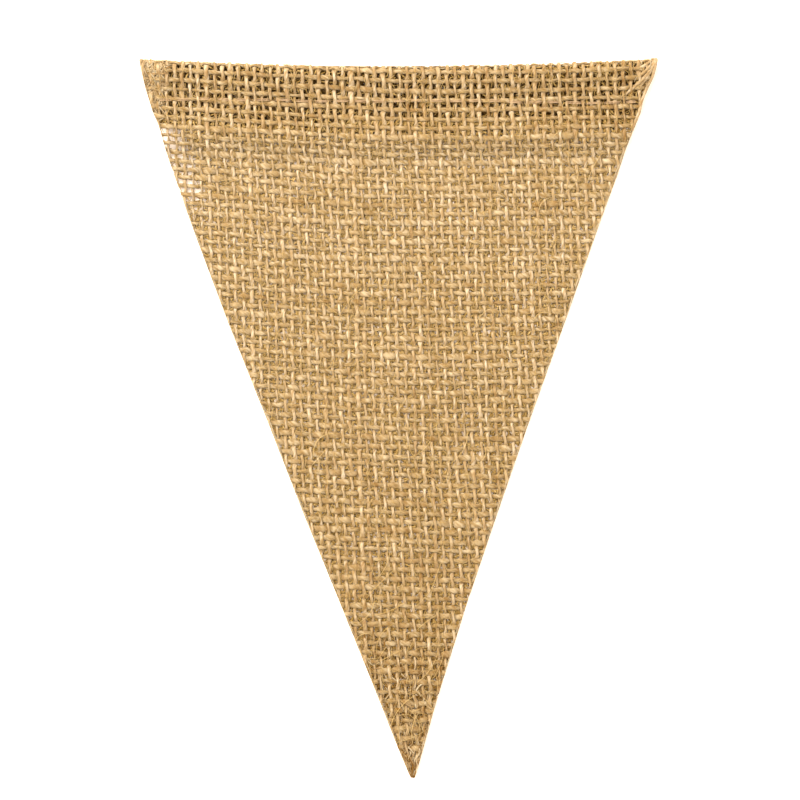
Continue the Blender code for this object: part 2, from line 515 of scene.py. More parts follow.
def join(name, tubes, girth):
    """One mesh object from many tubes. girth is roughly how far it is around one of them."""
    starts, rows, row_count, row_length = band_places([t["length"][-1] for t in tubes], girth)
    kinds = ("points", "quads", "caps", "quad_uvs", "cap_uvs", "fibres", "tones")
    parts = {kind: [] for kind in kinds}
    first = 0
    for number, made in enumerate(tubes):
        rings, sides = made["points"].shape[:2]
        quads, caps = quad_ring_faces(rings, sides)
        along = starts[number] + made["length"] / row_length
        bottom, top = rows[number] + BAND_MARGIN, rows[number] + 1 - BAND_MARGIN
        up = np.linspace(bottom, top, sides + 1) / row_count
        length = np.broadcast_to(made["length"][:, None], (rings, sides)) / MM
        fibre = [length + STREAK_SHIFT * number, np.cos(made["twist"]), np.sin(made["twist"])]
        parts["points"].append(made["points"].reshape(-1, 3))
        parts["quads"].append(quads + first)
        parts["caps"].append(caps + first)
        parts["quad_uvs"].append(ring_map(along, up))
        parts["cap_uvs"].append(end_discs(along, rows[number], sides, row_length, row_count))
        parts["fibres"].append(np.stack(fibre, -1).reshape(-1, 3))
        parts["tones"].append(np.broadcast_to(made["tone"][:, None], (rings, sides)).ravel())
        first += rings * sides
    return mesh_object(name, **{kind: np.concatenate(part) for kind, part in parts.items()})


print(f"streaks are shifted by {STREAK_SHIFT:.0f} mm from yarn to yarn")

# %% [markdown]
# ## Where the cloth is loose, worn, brown or in painted shade
#
# Handled cloth isn't the same all over. It frays towards the tip, a small place by the left side
# below the hem is worn thin, and the tip has stayed a deeper brown. Shade is painted into the
# colour in three places: the strip inside the hem is a much deeper brown, for the shade in the
# tunnel, the face over the hem a little deeper, for the shade of the double layer, and the cloth
# deepens towards the right side, away from the light. Each of these is one smooth function of
# place, so every kind of yarn and fibre can ask for it.

# %% Loose, worn and brown places
FRAYED = 2.0                # how much looser the weave gets
FRAY_FROM, FRAY_TO = 45 * MM, 12 * MM          # between these distances above the tip
HEM_ENDS = (15 * MM, 23 * MM)                  # the look of the hem fades out between these runs
WORN_STARTS, WORN_ENDS = (14 * MM, 18 * MM), (32 * MM, 42 * MM)
WORN_WIDTH = (4 * MM, 8 * MM)                  # it fades out between these distances from the cut
WORN_THINNER = 0.25         # share by which the yarns are thinner there
# Painted shade, not the jute's colour: the strip inside the hem, the face over the hem and the right
# side, away from the light. The brown towards the tip is the jute's own.
STRIP_PAINTED_SHADE, HEM_PAINTED_SHADE, TIP_BROWN, SIDE_PAINTED_SHADE = 1.4, 0.6, 0.85, 0.2


def frayed(run):
    """How much looser the weave is here than in the middle of the cloth."""
    return 1 + FRAYED * ease(run, TIP_END - FRAY_FROM, TIP_END - FRAY_TO)


def in_hem(run):
    return 1 - ease(run, *HEM_ENDS)


def worn(x, run):
    """1 in the small thin place by the left cut side below the hem, 0 in the rest."""
    from_left = x - cut_limits(x, run)[0]
    lengthways = ease(run, *WORN_STARTS) * (1 - ease(run, *WORN_ENDS))
    return lengthways * (1 - ease(from_left, *WORN_WIDTH))


def brown_and_painted_shade(x, run):
    """How brown the jute is here, plus painted shade in the strip, the hem and the right side."""
    down = np.clip(np.interp(run, RUN, BELOW) / HEIGHT, 0, 1)
    # painted shade: the strip lies in the tunnel's shade, the face over the hem in the double layer's
    hem = np.where(run < -1 * MM, STRIP_PAINTED_SHADE, HEM_PAINTED_SHADE * in_hem(run))
    # the tip's brown is the jute's own, the right side's is painted shade, away from the light
    return hem + TIP_BROWN * down + SIDE_PAINTED_SHADE * x / WIDTH


# at the fold this is all painted shade of the hem, at the tip the jute's own brown
print(f"brown at the fold {brown_and_painted_shade(0, 0):.2f}, at the tip {brown_and_painted_shade(0, TIP_END):.2f}")

# %% [markdown]
# ## How a yarn behaves at its crossings
#
# A yarn is pressed flat on top of each crossing and dives steeply between two of them, so a plain
# sine would look too round. It is also a little fatter or further aside at some crossings than at
# others. Where the cut crosses a yarn twice, only its longest piece stays in the cloth.

# %% Crossing helpers
PLAN_STEP = 0.1 * MM        # how finely a yarn is followed to find where the cut crosses it
CUT_PLAY = 0.3 * MM         # a yarn stays in while its middle is this close to the cut
SHORTEST = 1.5 * MM         # shorter ends have fallen out
YARN_UNEVEN, SLUB, FATTEST = 0.11, 0.1, 1.5


def stretch_inside(inside, distances):
    """The longest unbroken stretch of distances that are inside the cut."""
    here = np.flatnonzero(inside)
    if len(here) < 2:
        return None
    longest = max(np.split(here, np.flatnonzero(np.diff(here) > 1) + 1), key=len)
    return distances[longest[0]], distances[longest[-1]]


def flat_topped(over):
    """A yarn that is pressed flat on its crossings and passes steeply between them."""
    return over * (1.4 - 0.4 * over ** 2)


def at_crossings(size, crossings):
    """A small random amount for each crossing of a yarn, read between them."""
    steps = rng.normal(0, size, crossings)
    return lambda number: np.interp(number, np.arange(crossings), steps)


def fatness(distance, slub_lengths, swell, thinnest):
    """A yarn's size along its length: its own, its slow slubs, and its swell at crossings."""
    own = rng.normal(0, YARN_UNEVEN)
    slubs = SLUB * np.sin(distance / (rng.uniform(*slub_lengths) * MM) + rng.uniform(0, 6))
    return np.clip(1 + own + slubs + swell, thinnest, FATTEST)


print(f"half way between two crossings a yarn is at {flat_topped(0.5):.2f} of its full rise")

# %% [markdown]
# ## Warp yarns
#
# The warps run from the strip's raw edge, over the fold and down the face to the cut side. Where a
# warp passes over a weft it is tight, narrow and smooth, which gives burlap its pale upright
# strokes. It also leans a little on each stroke, because twisted yarn rolls as it bends.

# %% Warps
WARP_SIDES = 8
WARP_RING = 0.56 * MM       # distance between the rings of a tube
WARP_CRIMP = 0.33 * MM      # how far it rises and dips at the crossings
WARP_HALF_WIDTH = 0.45 * MM
WARP_HALF_HEIGHT = 0.38 * MM
WARP_ROLL = 0.12 * MM
WARP_STRAY = 0.085 * MM     # how far it is aside at a crossing
WARP_SLUBS = (7, 16)        # lengths of the slow slubs, in mm
WARP_SWELL = 0.13           # how unevenly fat it is at its crossings
WARP_SHADE, WARP_SHADES = 0.45, (0.2, 0.16)    # brown on the whole, from yarn to yarn, along one
WARP_GIRTH = 2.6 * MM


def warp(number):
    fine = np.arange(FLAP_END, TIP_END, PLAN_STEP)
    x = warp_x(number, fine)
    left, right = cut_limits(x, fine)
    span = stretch_inside((x + CUT_PLAY > left) & (x - CUT_PLAY < right), fine)
    if span is None or span[1] - span[0] < SHORTEST:
        return None
    start = max(span[0], FLAP_END + rng.uniform(0, 0.5) * MM)
    run = np.linspace(start, span[1], max(3, int((span[1] - start) / WARP_RING) + 1))
    weft_here = np.interp(run, cross_run[:, number], wefts)
    parity = 1 - 2 * (number % 2)
    over = parity * np.cos(pi * weft_here)
    shift, swell = at_crossings(WARP_STRAY, WEFTS), at_crossings(WARP_SWELL, WEFTS)
    rolled = parity * WARP_ROLL * np.sin(pi * weft_here)
    x = warp_x(number, run) + rolled + shift(weft_here) * frayed(run)
    fat = fatness(run, WARP_SLUBS, swell(weft_here), 0.72)
    fat = fat * (1 - WORN_THINNER * worn(x, run))
    width = WARP_HALF_WIDTH * (1 - 0.24 * over) * fat * (1 + 0.1 * in_hem(run))
    height = WARP_HALF_HEIGHT * (1 + 0.04 * over) * (0.55 + 0.45 * fat)
    made = tube(place(x, run, WARP_CRIMP * over), out_of_face(run), width, height, WARP_SIDES,
                uneven(0.11), rng.uniform(0, 2 * pi))
    made["points"] = kept_inside(made["points"])
    shade = rng.normal(WARP_SHADE, WARP_SHADES[0])
    shade = shade + at_crossings(WARP_SHADES[1], WEFTS)(weft_here)
    made["tone"] = shade + brown_and_painted_shade(x, run)
    return made


warp_tubes = [made for made in map(warp, range(WARPS)) if made]
print(f"{len(warp_tubes)} warps are left after cutting")

# %% [markdown]
# ## Yarns pulled to the right corner
#
# At the right end of the hem a few yarns have slipped out of the weave and are pulled slantwise
# into the corner, and one lies along the cut. Bending the planned warps would disturb their
# crossings, so these are yarns of their own, laid over the weave and joined to the same mesh.

# %% Corner yarns
PLACING_PASSES = 3          # the cut depends on x and x on the cut, so both are worked out in turn
CORNER_YARN = 0.42 * MM
# Columns: depth below the fold where the yarn starts and ends, then its inset from the cut at
# each, all in mm.
CORNER_YARNS = ((0.4, 17, 0.35, 0.4), (0.5, 7.5, 0.7, 2.6), (1.0, 9.0, 0.6, 5.0),
                (0.8, 5.2, 0.9, 4.2), (0.6, 2.7, 1.0, 5.0))


def beside_the_cut(from_below, to_below, from_inset, to_inset):
    """A yarn at the right end of the hem, between two depths below the fold, all in mm."""
    below = np.arange(from_below, to_below, 0.4) * MM
    share = np.linspace(0, 1, len(below))
    run = face_run(below)
    inset = (from_inset + (to_inset - from_inset) * share ** 1.3) * MM
    x = np.full(len(run), WIDTH / 2)
    for _ in range(PLACING_PASSES):
        x = cut_limits(x, run)[1] - inset
    size = CORNER_YARN * (0.75 + 0.25 * np.sin(pi * share))
    made = tube(place(x, run, 0.45 * MM - 0.5 * MM * share ** 2), out_of_face(run), size,
                size, WARP_SIDES, uneven(0.12), rng.uniform(0, 2 * pi))
    made["points"] = kept_inside(made["points"])
    made["tone"] = np.full(len(run), rng.normal(0.9, 0.2))
    return made


warp_tubes += [beside_the_cut(*places) for places in CORNER_YARNS]
warp_yarns = join("warp_yarns", warp_tubes, WARP_GIRTH)

# %% [markdown]
# ## Weft yarns
#
# The wefts are softer and fatter than the warps. They are pushed together by the loom and pressed
# flat where they cross over a warp, which makes the broad ochre patches between the pale strokes.
# They are shared out over a few meshes, so that no mesh is too heavy.

# %% Wefts
WEFT_SIDES = 8
WEFT_RING = 0.38 * MM
WEFT_CRIMP = 0.25 * MM
WEFT_HALF_WIDTH = 0.64 * MM
WEFT_HALF_HEIGHT = 0.31 * MM
WEFT_STRAY = 0.09 * MM
WEFT_SLUBS = (5, 14)
WEFT_SWELL = 0.14
WEFT_SHADE, WEFT_SHADES = 0.5, (0.18, 0.18)
WEFT_GIRTH = 2.9 * MM
WEFT_MESHES = 3


def weft(number):
    fine = np.arange(-WIDTH / 2, WIDTH / 2, PLAN_STEP)
    run = weft_run(number, fine)
    left, right = cut_limits(fine, run)
    inside = (fine > left - CUT_PLAY) & (fine < right + CUT_PLAY)
    inside &= (run > FLAP_END + CUT_PLAY) & (run < TIP_END - CUT_PLAY)
    span = stretch_inside(inside, fine)
    if span is None or span[1] - span[0] < SHORTEST:
        return None
    x = np.linspace(*span, max(3, int((span[1] - span[0]) / WEFT_RING) + 1))
    warp_here = np.interp(x, cross_x[number], warps)
    over = (2 * (number % 2) - 1) * np.cos(pi * warp_here)
    shift, swell = at_crossings(WEFT_STRAY, WARPS), at_crossings(WEFT_SWELL, WARPS)
    fat = fatness(x, WEFT_SLUBS, swell(warp_here), 0.7)
    run = weft_run(number, x) + shift(warp_here) * frayed(weft_place[number])
    fat = fat * (1 - WORN_THINNER * worn(x, run))
    width = WEFT_HALF_WIDTH * (1 - 0.02 * over) * fat * (1 - 0.2 * in_hem(run))
    height = WEFT_HALF_HEIGHT * (1 - 0.05 * over) * (0.55 + 0.45 * fat)
    made = tube(place(x, run, WEFT_CRIMP * flat_topped(over)), out_of_face(run), width, height,
                WEFT_SIDES, uneven(0.15), rng.uniform(0, 2 * pi))
    made["points"] = kept_inside(made["points"])
    shade = rng.normal(WEFT_SHADE, WEFT_SHADES[0])
    shade = shade + at_crossings(WEFT_SHADES[1], WARPS)(warp_here)
    made["tone"] = shade + brown_and_painted_shade(x, run)
    return made


weft_tubes = [made for made in map(weft, range(WEFTS)) if made]
print(f"{len(weft_tubes)} wefts are left after cutting")
shares = np.array_split(np.arange(len(weft_tubes)), WEFT_MESHES)
weft_yarns = [join(f"weft_yarns_{part + 1}", [weft_tubes[k] for k in share], WEFT_GIRTH)
              for part, share in enumerate(shares)]

# %% [markdown]
# ## Loose fibres
#
# Jute yarn is hairy. Fine strands stand off the yarns, lie over them and cross the holes, and
# they take away the look of a clean basket. Particle hair would be quick, but it isn't a mesh, so
# these are thin three-sided strands. All strands of one kind have the same number of points,
# which lets numpy bend them all at once.

# %% Bent paths
def some(least, most, count):
    """Random values between two limits."""
    return rng.uniform(least, most, count)


def curved(x, run, lift, heading, length, bend, rise, steps):
    """Bent paths over the cloth, each around a middle. A heading of 0 points along the wefts."""
    t = np.linspace(-0.5, 0.5, steps)
    ahead, aside = length[:, None] * t, bend[:, None] * (4 * t * t - 0.35)
    cos, sin = np.cos(heading)[:, None], np.sin(heading)[:, None]
    across = x[:, None] + ahead * cos - aside * sin
    down = run[:, None] + ahead * sin + aside * cos
    return place(across, down, lift[:, None] + rise[:, None] * t)


def scattered(x, run, lift, heading, length, bend, rise, steps):
    """Bent paths with random lifts and lengths between two limits each, in mm. heading is its mean
    and its scatter, bend and rise are scatters in mm."""
    count = len(x)
    lifts = some(*lift, count) * MM
    headings = heading[0] + rng.normal(0, heading[1], count)
    lengths = some(*length, count) * MM
    bends = rng.normal(0, bend * MM, count)
    rises = rng.normal(0, rise * MM, count)
    return curved(x, run, lifts, headings, lengths, bends, rises, steps)


level = np.zeros(1)
sample = curved(level, level + HEIGHT / 2, level, level, level + 2 * MM, level, level, 3)
print(f"a straight fibre of 2 mm reaches over {np.ptp(sample[0, :, 0]) / MM:.1f} mm")

# %% [markdown]
# ## From paths to strands
#
# A fibre is far too thin to need a round section, so three sides do. It tapers to both ends, and
# is closed there. On the picture map each strand has a small cell of its own.

# %% Strand mesh
STRAND_SIDES = 3
END_TAPER = 0.35            # a strand's ends are this much of its full thickness, or a little more
STRAND_SPREAD = 900         # how far apart the strands lie in the streaks of the material
CELL_ALONG, CELL_UP = (0.15, 0.85), (0.12, 0.88)        # a strand's sides in its cell of the map
CELL_ENDS, CELL_DISC = (0.07, 0.93), (0.04, 0.3)        # and its two ends beside them


def strands(name, paths, radius, tone):
    """One mesh of thin strands, tapered towards both ends."""
    count, rings = paths.shape[:2]
    along = np.gradient(paths, axis=1)
    along /= np.linalg.norm(along, axis=2, keepdims=True) + 1e-12
    side = np.cross(along, (0.07, 0.11, 1.0))
    side /= np.linalg.norm(side, axis=2, keepdims=True)
    top = np.cross(side, along)
    taper = END_TAPER + (1 - END_TAPER) * np.sin(pi * np.linspace(0.05, 0.95, rings)) ** 0.6
    angle = 2 * pi * np.arange(STRAND_SIDES) / STRAND_SIDES
    around = side[:, :, None] * np.cos(angle)[:, None] + top[:, :, None] * np.sin(angle)[:, None]
    points = paths[:, :, None] + (radius[:, None] * taper)[:, :, None, None] * around
    points = kept_inside(points)
    quads, caps = quad_ring_faces(rings, STRAND_SIDES)
    first = np.arange(count)[:, None, None] * rings * STRAND_SIDES
    columns = int(np.ceil(count ** 0.5 / 2))
    rows = int(np.ceil(count / columns))
    corner = np.stack([np.arange(count) % columns, np.arange(count) // columns], -1)[:, None, None]
    body = ring_map(np.linspace(*CELL_ALONG, rings), np.linspace(*CELL_UP, STRAND_SIDES + 1))
    disc = np.stack([CELL_DISC[0] * np.cos(angle), CELL_DISC[1] * np.sin(angle)], -1)
    ends = np.stack([disc + (CELL_ENDS[0], 0.5), disc[::-1] + (CELL_ENDS[1], 0.5)])
    length = np.linspace(0, 1, rings) * 3.0 + rng.uniform(0, STRAND_SPREAD, count)[:, None]
    fibre = np.stack(np.broadcast_arrays(length[:, :, None], np.cos(angle), np.sin(angle)), -1)
    tones = np.broadcast_to(tone[:, None, None], (count, rings, STRAND_SIDES))
    return mesh_object(name, points.reshape(-1, 3), (quads + first).reshape(-1, 4),
                       (caps + first).reshape(-1, STRAND_SIDES), (body + corner) / (columns, rows),
                       (ends + corner) / (columns, rows), fibre.reshape(-1, 3), tones.ravel())


print(f"a strand of 3 rings has {len(quad_ring_faces(3, STRAND_SIDES)[0])} side faces")

# %% [markdown]
# ## Fibres in the holes
#
# Most of the fibres cross the holes. There the real cloth lets only a little of the surface below
# show through. In the worn place by the left side the holes are almost clean, and over the tunnel
# they are dark and open, so few fibres go there. More lie near the tip and over the fold. Fine
# fibres lie near the top of a hole, and short thick fluff deep down in it.

# %% Holes
def four_around(grid):
    return (grid[:-1, :-1] + grid[1:, :-1] + grid[:-1, 1:] + grid[1:, 1:]) / 4


def inside_cut(x, run, reach):
    left, right = cut_limits(x, run)
    return (x > left - reach) & (x < right + reach) & (run > FLAP_END) & (run < TIP_END)


hole_x, hole_run = four_around(cross_x), four_around(cross_run)
holes = inside_cut(hole_x, hole_run, CUT_PLAY)
hole_x, hole_run = hole_x[holes], hole_run[holes]
print(f"{len(hole_x)} holes")

# %% Fibres wanted
WORN_CLEAN = 0.94           # share of the fibres that the worn place has lost
TUNNEL_FIBRES = 0.18        # over the tunnel, compared with the open cloth
STRIP_FIBRES = 1.15         # in the strip behind
TIP_FIBRES = 1.4            # near the tip
BAND_FIBRES = 0.7           # in the band below the hem, where the face comes down
FOLD_FIBRES = 1.6           # where the strip turns over
TUNNEL_TO = 14 * MM
BAND_FROM, BAND_TO = 15 * MM, 27 * MM
TIP_REACH, FOLD_REACH = 40 * MM, 2.5 * MM

over_tunnel = (hole_run > 0) & (hole_run < TUNNEL_TO)
below_hem = (hole_run > BAND_FROM) & (hole_run < BAND_TO)
wanted = (1 - WORN_CLEAN * worn(hole_x, hole_run)) * np.where(over_tunnel, TUNNEL_FIBRES, 1)
wanted = wanted * np.where(hole_run < 0, STRIP_FIBRES, 1)
wanted = wanted * np.where(hole_run > TIP_END - TIP_REACH, TIP_FIBRES, 1)
wanted = wanted * np.where(below_hem, BAND_FIBRES, 1)
wanted = np.where((hole_run < 0) & (hole_run > -FOLD_REACH), FOLD_FIBRES, wanted)
print(f"on average a hole has {wanted.mean():.2f} of the fibres of the open cloth")

# %% Fibres in the holes
FIBRES_IN_A_HOLE = 2.4
FLUFF_IN_A_HOLE = 8.0


def along_yarns(count, share_down, lean, scatter):
    """Headings of fibres: this share of them follow the warps, and the rest the wefts."""
    return np.where(rng.random(count) < share_down, pi / 2 + lean, 0) + rng.normal(0, scatter, count)


def in_holes(name, number, lift, length, thickness, steps, mean_tone):
    """Fibres that lie across the holes at random, as many in each as the cloth has there."""
    each = np.floor(number * wanted + rng.random(len(wanted))).astype(int)
    x, run = np.repeat(hole_x, each), np.repeat(hole_run, each)
    count = len(x)
    heading = along_yarns(count, 0.6, 0, 0.55)
    paths = curved(x + rng.normal(0, 0.3 * MM, count), run + rng.normal(0, 0.3 * MM, count),
                   some(*lift, count) * MM, heading, some(*length, count) * MM,
                   rng.normal(0, 0.25 * MM, count), rng.normal(0, 0.3 * MM, count), steps)
    tone = rng.normal(mean_tone, 0.25, count) + brown_and_painted_shade(x, run)
    tone += 0.7 * ease(run, TIP_END - 50 * MM, TIP_END - 20 * MM)
    return strands(name, paths, some(*thickness, count) * MM, tone)


hole_fibres = in_holes("hole_fibres", FIBRES_IN_A_HOLE, lift=(-0.3, 0.35), length=(1.6, 3.4),
                       thickness=(0.035, 0.075), steps=3, mean_tone=0.5)
fluff = in_holes("fluff", FLUFF_IN_A_HOLE, lift=(-0.5, -0.13), length=(1.2, 2.0),
                 thickness=(0.2, 0.38), steps=2, mean_tone=0.35)

# %% [markdown]
# ## Hairs on the yarns
#
# The other fibres lie along the yarns as fine hairs. They start near the crossings, where the
# yarns rub against each other, and most of them follow the warps. They are only on the face,
# because nobody sees those between the layers.

# %% Hairs on the yarns
HAIRS_ON_A_CROSSING = 3.0
HAIR_INSET = 0.4 * MM       # none start this close to the cut
HAIRS_FROM = -1 * MM        # the run at which they begin, just behind the fold

near = inside_cut(cross_x, cross_run, -HAIR_INSET) & (cross_run > HAIRS_FROM)
each = rng.poisson(HAIRS_ON_A_CROSSING, int(near.sum()))
hair_x, hair_run = np.repeat(cross_x[near], each), np.repeat(cross_run[near], each)
count = len(hair_x)
heading = along_yarns(count, 0.65, -0.06, 0.28)
paths = curved(hair_x + rng.normal(0, 0.35 * MM, count), hair_run + rng.normal(0, 0.35 * MM, count),
               some(0.2, 0.7, count) * MM, heading, some(1.4, 3.4, count) * MM,
               rng.normal(0, 0.25 * MM, count), rng.normal(0, 0.35 * MM, count), 3)
yarn_hairs = strands("yarn_hairs", paths, some(0.035, 0.075, count) * MM, rng.normal(0.4, 0.4, count))

# %% [markdown]
# ## Long loose hairs
#
# A few fibres have worked loose over up to a centimetre and lie across the face in wide bends.
# They are spread over its whole length, between the two cut sides, just above the yarns.

# %% Long hairs
LONG_HAIRS = 90
LONG_STEPS = 9

long_run = some(4, 165, LONG_HAIRS) * MM
left, right = cut_limits(np.zeros(LONG_HAIRS), long_run)
long_x = left + rng.random(LONG_HAIRS) * (right - left)
paths = scattered(long_x, long_run, lift=(0.65, 0.8), heading=(pi / 2, 0.7), length=(4, 11),
                  bend=1.2, rise=0.2, steps=LONG_STEPS)
long_hairs = strands("long_hairs", paths, some(0.045, 0.08, LONG_HAIRS) * MM,
                     rng.normal(0.1, 0.2, LONG_HAIRS))

# %% [markdown]
# ## Strands along the cut
#
# The shears leave short yarn ends, and yarns that lay beside the cut are now bare strands along
# it. They make the edge look straight and closed from a step away. Beside the worn place they are
# thinner. These strands and those of the corners, the fold and the tip are one mesh in the end, so
# each step below only adds its own to a list.

# %% Strands of the edges
edge_paths, edge_sizes, edge_tones = [], [], []


def keep_strands(where, paths, radius, tone):
    edge_paths.append(paths)
    edge_sizes.append(radius)
    edge_tones.append(tone)
    print(f"{len(paths)} strands {where}")


def between_sides(share, run):
    """A place across the cloth, as a share of the way from the left cut side to the right one."""
    x = np.zeros_like(share * run)
    for _ in range(PLACING_PASSES):
        left, right = cut_limits(x, run)
        x = left + share * (right - left)
    return x


middle = between_sides(np.array([0.5]), np.array([TIP_END / 2]))[0]
print(f"half way down, the middle of the cloth is at x = {middle / MM:.1f} mm")

# %% Strands along the cut
EDGE_STEPS = 9
EDGE_STRANDS = 150          # on each side
EDGE_WORN = 0.55            # share by which they are thinner beside the worn place

along_strand = np.linspace(0, 1, EDGE_STEPS)
for side, share, inward in (("left", 0.0, 1), ("right", 1.0, -1)):
    start = some(0.5, 174, EDGE_STRANDS) * MM
    reach = some(3, 11, EDGE_STRANDS) * MM
    run = np.minimum(start[:, None] + reach[:, None] * along_strand, TIP_END - 0.3 * MM)
    offset = some(0.05, 0.4, EDGE_STRANDS)[:, None] * MM
    waves = 0.12 * MM * np.sin(run / (0.9 * MM) + some(0, 6, EDGE_STRANDS)[:, None])
    drift = rng.normal(0, 0.25 * MM, EDGE_STRANDS)[:, None] * along_strand
    x = between_sides(np.full(run.shape, share), run) + inward * np.abs(offset + waves + drift)
    lift = some(-0.35, 0.5, EDGE_STRANDS)[:, None] * MM + 0.1 * MM * np.sin(run / (0.7 * MM))
    size = some(0.07, 0.17, EDGE_STRANDS) * MM * (1 - EDGE_WORN * worn(x, run).mean(1))
    keep_strands(f"along the {side} cut", place(x, run, lift), size,
                 rng.normal(0.5, 0.3, EDGE_STRANDS))

# %% [markdown]
# ## The matted left corner
#
# In the left corner the strip's fibres have matted into a dense wedge that hides the weave. It is
# widest at the fold and ends just before the strip does. Waves of lighter and darker strands stand
# for its clumps, because real felted fibres lie in bundles.

# %% Left corner
WEDGE_STRANDS = 480
WEDGE_DOWN = 15 * MM        # how far down the wedge reaches
WEDGE_NARROW, WEDGE_WIDER = 0.9 * MM, 6.2 * MM

below = WEDGE_DOWN * (1 - np.sqrt(rng.random(WEDGE_STRANDS)))
wedge_width = WEDGE_NARROW + WEDGE_WIDER * (1 - below / WEDGE_DOWN)
run = face_run(below + 0.3 * MM)
x = between_sides(np.zeros(WEDGE_STRANDS), run) + wedge_width * rng.random(WEDGE_STRANDS)
paths = scattered(x, run, lift=(-0.5, 0.3), heading=(pi / 2 - 0.3, 0.8), length=(1.5, 4.5),
                  bend=0.5, rise=0.2, steps=EDGE_STEPS)
clumps = 0.65 * np.sin(x / (0.55 * MM) + 2 * np.sin(run / (1.4 * MM))) * np.sin(run / (0.7 * MM))
size = some(0.12, 0.32, WEDGE_STRANDS) * MM
keep_strands("in the left corner", paths, size, rng.normal(1.0, 0.25, WEDGE_STRANDS) + clumps)

# %% [markdown]
# ## Fuzz over the fold
#
# A fold is where cloth is rubbed most. Fibres lie along it, over the yarns that turn there, and
# close the little windows between them. They run nearly level, with the wefts.

# %% Fuzz over the fold
FOLD_STRANDS = 540

x = some(-0.5, 0.5, FOLD_STRANDS) * WIDTH
run = some(-3.2, 0.6, FOLD_STRANDS) * MM
paths = scattered(x, run, lift=(-0.2, 0.4), heading=(0, 0.14), length=(2, 5), bend=0.25, rise=0.2,
                  steps=EDGE_STEPS)
keep_strands("over the fold", paths, some(0.08, 0.2, FOLD_STRANDS) * MM,
             rng.normal(0.8, 0.4, FOLD_STRANDS))

# %% [markdown]
# ## Loose ends in the right corner
#
# Between the yarns that are pulled to the right corner a few single strands slant the same way.
# They soften the step from those yarns to the woven cloth.

# %% Right corner
CORNER_STRANDS = 10

run = face_run(some(0.2, 9, CORNER_STRANDS) * MM)
x = between_sides(np.ones(CORNER_STRANDS), run) - np.abs(rng.normal(0, 2.2 * MM, CORNER_STRANDS))
paths = scattered(x, run, lift=(0.1, 0.9), heading=(-0.9, 0.3), length=(2, 4.5), bend=0.4, rise=0.2,
                  steps=EDGE_STEPS)
keep_strands("in the right corner", paths, some(0.08, 0.2, CORNER_STRANDS) * MM,
             rng.normal(0.5, 0.3, CORNER_STRANDS))

# %% [markdown]
# ## The tip
#
# Towards the tip so few yarns are left that they come undone. First the weave fills with tangled
# brown fibre, and at the very end all the wefts have gone, and the rest is a small tuft of strands
# that run down to the point.

# %% Tangle above the tip
TANGLE_STRANDS = 340

run = TIP_END - 5 * MM - 30 * MM * rng.random(TANGLE_STRANDS) ** 1.3
x = between_sides(rng.random(TANGLE_STRANDS), run)
paths = scattered(x, run, lift=(-0.4, 0.4), heading=(pi / 2, 0.8), length=(1.4, 3.2), bend=0.45,
                  rise=0.2, steps=EDGE_STEPS)
keep_strands("tangled above the tip", paths, some(0.12, 0.3, TANGLE_STRANDS) * MM,
             rng.normal(1.5, 0.45, TANGLE_STRANDS))

# %% Tuft at the tip
TUFT_STRANDS = 150

end = TIP_END - TUFT * rng.random(TUFT_STRANDS) ** 2
start = end - some(1.5, 4.5, TUFT_STRANDS) * MM
run = start[:, None] + (end - start)[:, None] * along_strand
share = rng.random(TUFT_STRANDS)[:, None]
share = share + 0.12 * np.sin(run / (0.8 * MM) + some(0, 6, TUFT_STRANDS)[:, None])
x = between_sides(np.clip(share, 0.02, 0.98), run)
lift = some(-0.4, 0.6, TUFT_STRANDS)[:, None] * MM + 0 * run
keep_strands("in the tuft", place(x, run, lift), some(0.12, 0.3, TUFT_STRANDS) * MM,
             rng.normal(1.5, 0.5, TUFT_STRANDS))
edge_strands = strands("edge_strands", np.concatenate(edge_paths), np.concatenate(edge_sizes),
                       np.concatenate(edge_tones))

# %% [markdown]
# ## The stitch row
#
# A sewing machine's thin doubled thread holds the two layers together. On the face it shows as
# short straight dashes with small gaps, where it goes down into the cloth. It runs nearly level,
# although the folded edge sags, because the maker steers by the machine and not by the cloth.

# %% Stitches
STITCH = 4.7 * MM           # one dash and the gap after it
SEAM_FROM, SEAM_TO = -58.0 * MM, 57.5 * MM
SEAM_STEP = 0.25 * MM       # distance between the rings of the thread
SEAM_LEVEL = HEIGHT / 2 - 10.4 * MM            # y of the row in the middle of the hem
SEAM_TILT = 0.006           # the row falls a little to the right
THREAD_SIDES = 6
THREAD_RADIUS = 0.095 * MM
THREAD_GAP = 0.34 * MM      # between the middles of the doubled thread
THREAD_LIFT, THREAD_DIP = 0.7 * MM, 1.35 * MM  # it lies on the face, and dips this much at a gap
THREAD_TONE = 0.3
THREAD_GIRTH = 0.8 * MM


def thread(offset):
    seam_x = np.arange(SEAM_FROM, SEAM_TO, SEAM_STEP)
    stray = 0.16 * MM * np.sin(seam_x / (9 * MM)) + 0.1 * MM * np.sin(seam_x / (2.7 * MM) + offset)
    level = SEAM_LEVEL - SEAM_TILT * seam_x + stray + offset
    below = HEIGHT / 2 - sag(seam_x) - level
    run = face_run(below)
    phase = (seam_x / STITCH + 0.06 * np.sin(seam_x / (11 * MM))) % 1
    dips = THREAD_DIP * np.exp(-((phase - 0.5) / 0.19) ** 2)
    lift = THREAD_LIFT - dips + 0.16 * MM * np.sin(seam_x / (1.1 * MM) + offset / MM)
    size = np.full(len(seam_x), THREAD_RADIUS)
    made = tube(place(seam_x, run, lift), out_of_face(run), size, size, THREAD_SIDES, uneven(0.08))
    made["tone"] = np.full(len(seam_x), THREAD_TONE)
    return made


both_threads = [thread(0.5 * THREAD_GAP), thread(-0.5 * THREAD_GAP)]
stitches = join("stitch_thread", both_threads, THREAD_GIRTH)

